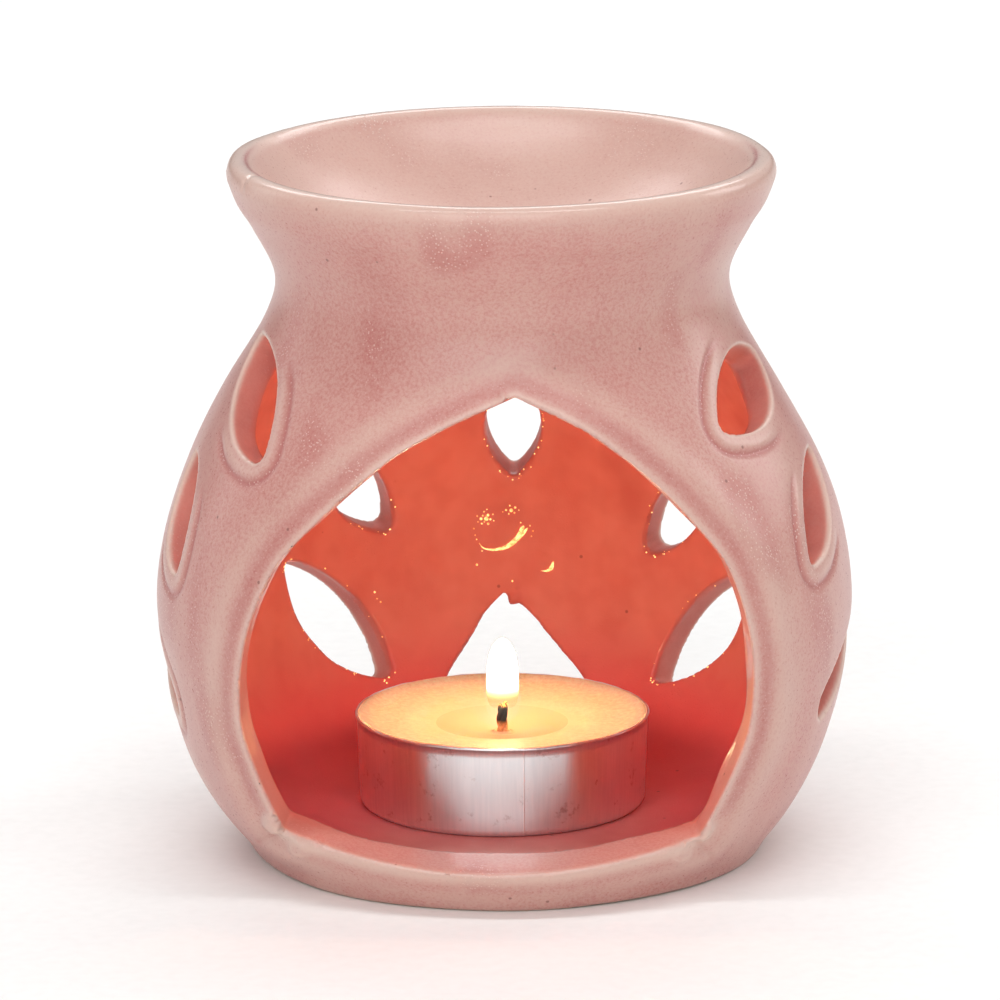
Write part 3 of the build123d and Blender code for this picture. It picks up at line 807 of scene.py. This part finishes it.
def shape_relief(piece):
    """Hand-worked relief: pressed lines under the petals, a raised band round the arch, and an uneven wall."""
    mesh = piece.data
    co, no = points_of(mesh)
    facing = (no[:, 0] * co[:, 0] + no[:, 1] * co[:, 1]) / np.hypot(co[:, 0], co[:, 1]).clip(0.1)
    outside = fade(-depth_in(co), -1.2, -0.5) * (facing > 0.2)
    inside = fade(depth_in(co), 3.2, 3.8) * (facing < -0.2) * fade(co[:, 2], 6, 8) * (co[:, 2] < 74)
    lift = 0.35 * unevenness(co, 17, 1) * outside + 0.5 * unevenness(co, 8, 2) * inside
    # a pressed line and a soft ridge round the lower end of each petal hole in front
    for petal in PETALS[:NEAR_PETALS]:
        distance, _, y = petal_distance(petal, co)
        low_end = fade(-y, -1.5, 3.5)
        lift -= 0.26 * ridge(distance, PRESSED_LINE, 0.5) * low_end * outside
        lift += 0.08 * ridge(distance, 1.5, 0.7) * low_end * outside
    # the band round the front arch is full on the right and at the lower left, and faint at the upper left
    front = outside * (co[:, 1] < 0)
    arch = polyline_distance(co[:, 0], co[:, 2], ARCH_LINE)
    band = fade(co[:, 0], -5, 15) + fade(28 - co[:, 2], 0, 10) * (co[:, 0] < 0)
    lift += 0.4 * ridge(arch, ARCH_BAND, 1.7) * front * np.clip(band, 0.25, 1)
    lift -= 0.15 * ridge(arch, 2.0, 0.9) * front * np.clip(band, 0, 1)
    for lumps, where in ((KNUCKLES, front), (DENTS, inside * (co[:, 1] > 0))):
        for x, z, size, height in lumps:
            lift += height * fade(size - np.hypot(co[:, 0] - x, co[:, 2] - z), 0, size * 0.6) * where
    behind = (co[:, 1] > 30) * (depth_in(co) > 1)
    for x, z, size, height in CRUMBS:
        lift += height * ridge(np.hypot(co[:, 0] - x, co[:, 2] - z), 0, size) * behind
    for x0, z0, x1, z1 in CREASES:
        lift -= 0.35 * ridge(polyline_distance(co[:, 0], co[:, 2], ((x0, z0), (x1, z1))), 0, 0.4) * front
    azimuth = np.degrees(np.arctan2(co[:, 0], -co[:, 1]))
    lift -= 0.12 * ridge(azimuth, RIM_CRACK, 0.6) * (co[:, 2] > 88)
    move_points(mesh, co + no * lift[:, None])


def paint_glaze(piece):
    """Where the glaze is thin, pooled, glassy or missing, and where it lies inside the pot; with painted light on
    the sill, the knuckles and the bowl, and painted shade inside the pot, in its cuts and just inside the near rim.
    """
    mesh = piece.data
    co, no = points_of(mesh)
    radius = np.hypot(co[:, 0], co[:, 1])
    depth = depth_in(co)
    skin = fade(-depth, -1.3, -0.5)
    thin = np.zeros(len(co))
    pooled = np.zeros(len(co))
    wet_edge = np.zeros(len(co))
    # petal holes: thin pale edges, wet ones inside, and glaze gathered in the pressed line
    for index, petal in enumerate(PETALS):
        distance, _, y = petal_distance(petal, co)
        thin = np.maximum(thin, 0.9 * ridge(distance, 0.15, 0.35) * skin)
        wet_edge = np.maximum(wet_edge, 0.7 * ridge(distance, 0.1, 0.5) * fade(depth, 3, 3.6))
        if index < NEAR_PETALS:
            low_end = fade(-y, -1.5, 3.5)
            thin = np.maximum(thin, 0.35 * ridge(distance, 1.3, 0.8) * low_end * skin)
            pooled = np.maximum(pooled, 0.75 * ridge(distance, PRESSED_LINE, 0.5) * low_end * skin)
    # front opening: thin along its edge and its band; the crest of the sill is painted paler as painted light
    front = (co[:, 1] < -10) * skin
    arch = arch_distance(co)
    thin = np.maximum(thin, 0.55 * ridge(arch, 0.4, 0.5) * front)
    thin = np.maximum(thin, 0.45 * ridge(arch, ARCH_BAND, 1.5) * front * (0.7 + 0.3 * unevenness(co, 6, 5)))
    # painted light: the sill's crest painted paler
    thin = np.maximum(thin, 0.8 * ridge(arch, 0.8, 1.3) * front * fade(12 - co[:, 2], 0, 3))
    pooled = np.maximum(pooled, 0.35 * ridge(arch, 2.1, 0.8) * front * fade(co[:, 2], 10, 14))
    # rim: thin over its crest, with a painted shade line just inside on the near half, where the crest hides the
    # bowl; the bowl is painted paler as painted light
    crest = np.hypot(radius - RIM_CREST[0], co[:, 2] - RIM_CREST[1])
    thin = np.maximum(thin, 0.8 * ridge(crest, 0, 2.8))
    # painted shade: a dark line just inside the crest, on the near half only
    inside_rim = np.hypot(radius - RIM_CREST[0] + 0.75, co[:, 2] - RIM_CREST[1] + 0.2)
    pooled = np.maximum(pooled, ridge(inside_rim, 0, 0.3) * fade(-co[:, 1], -12, 0))
    thin *= 1 - ridge(inside_rim, 0, 0.35) * fade(-co[:, 1], -12, 0)
    # painted light: the upward-facing bowl is painted paler
    bowl = (co[:, 2] > 75.9) * fade(32.5 - radius, 0, 2) * fade(no[:, 2], 0, 0.3)
    thin = np.maximum(thin, 0.5 * bowl)
    # inside of the cuts and of the pot: a deeper red glaze that is partly painted shade, lifted near the sill where
    # light comes in, and deep over the floor
    inner = fade(depth, 0.35, 0.9) * fade(co[:, 2], 2, 4) * (co[:, 2] < 75)
    inner *= 1 - 0.85 * ridge(arch, 0, 2.0) * fade(10 - co[:, 2], 0, 2)
    hollow = fade(depth, 3.4, 4.0) * (co[:, 2] < 75)
    inner *= 0.72 + 0.28 * hollow
    glassy = np.maximum(0.8 * ridge(arch, 0.15, 0.45) * (co[:, 1] < -10), ridge(crest, 0, 1.4))
    glassy = np.maximum(glassy, wet_edge)
    # painted shade: darker red glaze low in the chamber, fading out towards the front opening; partly glaze pooled
    # on the floor
    pooled = np.maximum(pooled, 0.9 * hollow * fade(22 - co[:, 2], 0, 14) * fade(co[:, 1], -28, -10))
    # painted highlight: a paler ring round each knuckle
    for x, z, size, _ in KNUCKLES:
        thin = np.maximum(thin, 0.6 * ridge(np.hypot(co[:, 0] - x, co[:, 2] - z), size * 0.6, 0.6) * front)
    paint(mesh, "shine", 0.35 - 0.2 * inner + 0.15 * hollow + 0.15 * bowl)
    paint(mesh, "thin", thin)
    paint(mesh, "pooled", pooled)
    paint(mesh, "inner", inner)
    paint(mesh, "glassy", glassy)
    paint(mesh, "bare", fade(-no[:, 2], 0.8, 0.95) * fade(1.0 - co[:, 2], 0.4, 0.9))


def build_burner():
    """The fired pot: turned, hollowed, cut, its edges softened by the glaze."""
    burner = pot_solid()
    cutters = [chamber_cutter(),
               arch_cutter("front_arch_cutter", arch_outline(ARCH_LEFT, ARCH_RIGHT, ARCH_SILL), -1,
                           ARCH_NEAR, ARCH_FAR),
               arch_cutter("back_arch_cutter", arch_outline(BACK_ARCH_LEFT, BACK_ARCH_RIGHT, BACK_SILL), 1)]
    for petal in PETALS:
        centre, side, up, out = petal_frame(petal)
        place = Matrix.Translation(centre - out * (WALL + 3)) @ Matrix((side, up, out)).transposed().to_4x4()
        cutters.append(prism("petal_cutter", petal_outline(petal[2], petal[3], petal[5]), WALL + 9, place))
    for cutter in cutters:
        modify(burner, "BOOLEAN", object=cutter, operation="DIFFERENCE", solver="MANIFOLD")
        bpy.data.objects.remove(cutter)
    exact = placed("cut_pot", burner.data)
    modify(burner, "REMESH", mode="VOXEL", voxel_size=SKIN_GRAIN * MM)
    modify(burner, "SHRINKWRAP", target=exact, wrap_method="NEAREST_SURFACEPOINT")
    bpy.data.objects.remove(exact)
    modify(burner, "SMOOTH", factor=0.5, iterations=4)
    true_edges(burner)
    shape_relief(burner)
    thin_out(burner, POT_TRIANGLES)
    keep_in_box(burner)
    paint_glaze(burner)
    burner.data.shade_smooth()
    burner.data.materials.clear()
    burner.data.materials.append(glaze_material())
    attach(burner, "burner")
    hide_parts("burner_body", "oil_dish")
    return burner


def meshed(name, data):
    """A curve turned into a mesh piece."""
    curve = placed(name + "_curve", data)
    mesh = bpy.data.meshes.new_from_object(curve.evaluated_get(bpy.context.evaluated_depsgraph_get()))
    bpy.data.objects.remove(curve)
    mesh.name = name
    mesh.shade_smooth()
    mesh.materials.clear()
    return placed(name, mesh)


def bent_rods(name, radius, paths):
    """Round rods along the paths, each a list of (point in millimetres, share of the radius)."""
    data = bpy.data.curves.new(name, "CURVE")
    data.dimensions = "3D"
    data.bevel_depth = radius * MM
    data.bevel_resolution = 3
    data.use_fill_caps = True
    for path in paths:
        spline = data.splines.new("POLY")
        spline.points.add(len(path) - 1)
        for point, (place, share) in zip(spline.points, path):
            point.co = (*(Vector(place) * MM), 1)
            point.radius = share
    return meshed(name, data)


def build_beads(burner):
    """Beads and curved runs of glaze that hardened on the back wall, catching the flame's light and glowing with
    painted highlights.
    """
    bpy.context.view_layer.update()

    def on_wall(x, z):
        return burner.ray_cast(Vector((x, 0, z)) * MM, Vector((0, 1, 0)))[1] / MM

    drops = [(on_wall(x, z), radius) for x, z, radius in BEADS]
    chance = np.random.default_rng(4)
    for petal in FAR_PETALS:
        centre, side, up, out = petal_frame(petal)
        outline = petal_outline(petal[2] + 0.5, petal[3] + 0.5, petal[5] + 0.25)
        for _ in range(PETAL_DROPS):
            x, y = outline[chance.integers(len(outline))] + chance.normal(0, 0.15, 2)
            start = centre + side * x + up * y - out * (WALL + 6)
            hit, place = burner.ray_cast(start * MM, out)[:2]
            if hit and (place / MM - start).length < 9:
                drops.append((place / MM, chance.uniform(0.05, 0.12)))
    steps = np.linspace(0.02, math.pi - 0.02, 7)
    paths = [[(place - Vector((0, 0, radius * math.cos(a))), radius * math.sin(a)) for a in steps]
             for place, radius in drops]
    for points, radius in RUNS:
        line = smooth_line(points, 5)
        swell = np.sin(np.linspace(0.05, 1, len(line)) ** 1.8 * math.pi * 0.95) ** 0.8
        swell *= 1 + 0.2 * unevenness(np.array([(x, 0, z) for x, z in line]), 0.5, 8)
        paths.append([(on_wall(x, z), radius * share) for (x, z), share in zip(line, swell)])
    beads = bent_rods("glaze_beads", 1.0, paths)
    beads.data.materials.append(painted_glow_drop_material())
    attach(beads, "burner")


# ---------------------------------------------------------------- the tealight

def cup_radius_at(height):
    return CUP_RADIUS - BEAD - CUP_TAPER * (CUP_TOP - height) / CUP_HEIGHT


def build_cup():
    """Pressed cup: rounded bottom corner, thin wall, and a rim that is rolled outwards."""
    bottom = FLOOR_TOP
    outside = [(0, bottom), *arc((cup_radius_at(bottom) - 1, bottom + 1), 1.0, -90, 0, 6)]
    outside += [(cup_radius_at(z), z) for z in np.linspace(bottom + 2, CUP_TOP - 2 * BEAD, 10)]
    bead = arc((cup_radius_at(CUP_TOP - BEAD), CUP_TOP - BEAD), BEAD, -60, 180, 10)
    inside = [(cup_radius_at(z) - CUP_WALL, z) for z in np.linspace(CUP_TOP - 2 * BEAD, bottom + 2, 10)]
    inside += arc((cup_radius_at(bottom) - 1, bottom + 1), 1.0 - CUP_WALL, 0, -90, 6)
    inside.append((0, bottom + CUP_WALL))
    cup = turned("pressed_cup", [*outside, *bead, *inside], 180, CANDLE_X)
    co, no = points_of(cup.data)
    angle = np.arctan2(co[:, 1], co[:, 0] - CANDLE_X)
    high = fade(co[:, 2], CUP_TOP - 1.0, CUP_TOP)
    ragged = sum(np.sin(angle * n + n * n) for n in (7, 13, 23, 41)) / 4
    co[:, 2] -= high * 0.16 * (0.5 + 0.5 * ragged)
    shrink = 1 - 0.004 * (0.5 + 0.5 * np.sin(angle * 5 + co[:, 2] * 0.3)) * fade(co[:, 2], bottom, bottom + 4)
    co[:, 0] = CANDLE_X + (co[:, 0] - CANDLE_X) * shrink
    co[:, 1] *= shrink
    move_points(cup.data, co)
    cup.data.materials.append(aluminium_material())
    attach(cup, "tealight")
    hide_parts("tealight_cup")


def build_wax():
    """Wax with a lip that climbs the cup's wall, a melted pool, and a bore for the wick and its sustainer."""
    floor = FLOOR_TOP + CUP_WALL
    low, high = cup_radius_at(floor) - 0.4, cup_radius_at(WAX_TOP) - 0.28
    disc, disc_top = DISC_BORE
    neck, neck_top = NECK_BORE
    profile = [(WICK_BORE, POOL_LEVEL), (WICK_BORE, floor + neck_top), (neck, floor + neck_top),
               (neck, floor + disc_top), (disc, floor + disc_top), (disc, floor), (low - 1, floor), (low, floor + 1)]
    profile += [(low + (high - low) * t, floor + 1 + (WAX_TOP - floor - 1) * t) for t in np.linspace(0.15, 0.95, 6)]
    top = smooth_line(((high, WAX_TOP + 0.1), (high + 0.02, CUP_TOP - 0.1), (high - 0.35, CUP_TOP - 0.12),
                       (high - 1.4, WAX_TOP + 0.1), (high - 3, WAX_TOP - 0.15),
                       (POOL_RADIUS + 2.5, WAX_TOP - 0.3), (POOL_RADIUS + 0.5, WAX_TOP - 0.55),
                       (POOL_RADIUS - 1.0, POOL_EDGE), (POOL_RADIUS - 2.6, POOL_EDGE - 0.3),
                       (3.5, POOL_LEVEL + 0.3), (1.6, POOL_LEVEL), (0.95, POOL_LEVEL + 0.2)), 4)
    wax = turned("poured_wax", [*profile, *top], 120, CANDLE_X, closed=True)
    co, no = points_of(wax.data)
    radius = np.hypot(co[:, 0] - CANDLE_X, co[:, 1])
    upper = (co[:, 2] > POOL_EDGE) & (radius > POOL_RADIUS - 1.5)
    co[:, 2] += (unevenness(co, 5, 4) * 0.12 + unevenness(co, 1.6, 6) * 0.06) * upper
    co[:, 2] = np.minimum(co[:, 2], CUP_TOP)
    move_points(wax.data, co)
    paint(wax.data, "wet", (1 - fade(radius, POOL_RADIUS - 3.6, POOL_RADIUS + 0.4)) * (co[:, 2] > 12))
    wax.data.materials.append(wax_material())
    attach(wax, "candle")
    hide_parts("candle_wax")


def wick_path(height):
    """Centre of the wick at a height: upright, then bent to the right."""
    start = POOL_LEVEL + 2.1
    lean = max(0.0, height - start)
    return Vector((CANDLE_X + 0.18 * lean * lean / 1.7, 0, height))


def build_wick():
    """Three cotton strands twisted together, frayed and charred at the top."""
    floor = FLOOR_TOP + CUP_WALL
    paths = []
    for strand, top in enumerate(STRAND_TOPS):
        path = []
        for height in np.linspace(floor + 0.03, top, 44):
            turn = strand * math.tau / 3 + (height - floor) * 1.1
            place = wick_path(height) + Vector((math.cos(turn), math.sin(turn), 0)) * 0.36
            path.append((place, 1.0 - 0.35 * max(0.0, (height - top + 0.8) / 0.8)))
        paths.append(path)
    wick = bent_rods("twisted_wick", STRAND_RADIUS, paths)
    wick.data.materials.append(wick_material())
    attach(wick, "candle")
    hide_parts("wick")


def build_flame():
    """The flame over the wick, the faint glow round its foot, and the light that it gives off."""
    shapes = {
        "candle_flame": ((0.0, 17.8), (1.0, 17.85), (1.75, 18.3), (2.05, 19.8), (2.05, 21.6), (1.9, 23.4),
                         (1.6, 25.0), (1.1, 26.1), (0.55, 26.75), (0.0, FLAME_TOP)),
        "flame_glow": ((0.0, 15.9), (1.4, 16.3), (2.1, 17.6), (2.35, 19.4), (2.3, 21.6), (2.1, 23.8),
                       (1.7, 25.6), (1.2, 26.6), (0.6, 27.1), (0.0, FLAME_TOP + 0.3)),
    }
    materials = (
        glow_material("candle_flame_glow", ((0.0, "#F2802A"), (0.1, "#FFC060"), (0.27, "#FFE6A0"), (1.0, "#FFE9B4")),
                      60.0, 17.8, 21.4, 1.0),
        glow_material("flame_haze", ((0.0, "#FFF4EA"), (0.6, "#FFF6E6"), (1.0, "#FFEFC8")), 0.95, 15.9, 18.5, 0.06),
    )
    for (name, shape), material in zip(shapes.items(), materials):
        flame = turned(name, [(max(0.0, r), z) for r, z in smooth_line(shape, 4)], 40, FLAME_X)
        flame.data.materials.append(material)
        flame.visible_shadow = False
        flame.visible_diffuse = False
        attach(flame, "candle")
    data = bpy.data.lights.new("flame_light", "POINT")
    data.energy = FLAME_POWER
    data.color = FLAME_COLOUR
    data.shadow_soft_size = 4 * MM
    lamp = placed("flame_light", data)
    lamp.location = (CANDLE_X * MM, 0, FLAME_HEIGHT * MM)
    lamp.visible_glossy = False
    lamp.parent = flame


def build_floor():
    """The white table, 6 m square, a hair below the pot's foot."""
    bm = bmesh.new()
    bmesh.ops.create_grid(bm, x_segments=1, y_segments=1, size=3000)
    bmesh.ops.translate(bm, vec=(0, 0, -0.02), verts=bm.verts)
    floor = finish_mesh(bm, "studio_floor")
    floor.data.materials.append(floor_material())


build_camera()
build_studio()
build_floor()
build_beads(build_burner())
build_cup()
build_wax()
build_wick()
build_flame()
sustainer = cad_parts["wick_sustainer"]
sustainer.data.materials.clear()
sustainer.data.materials.append(tinplate_material())
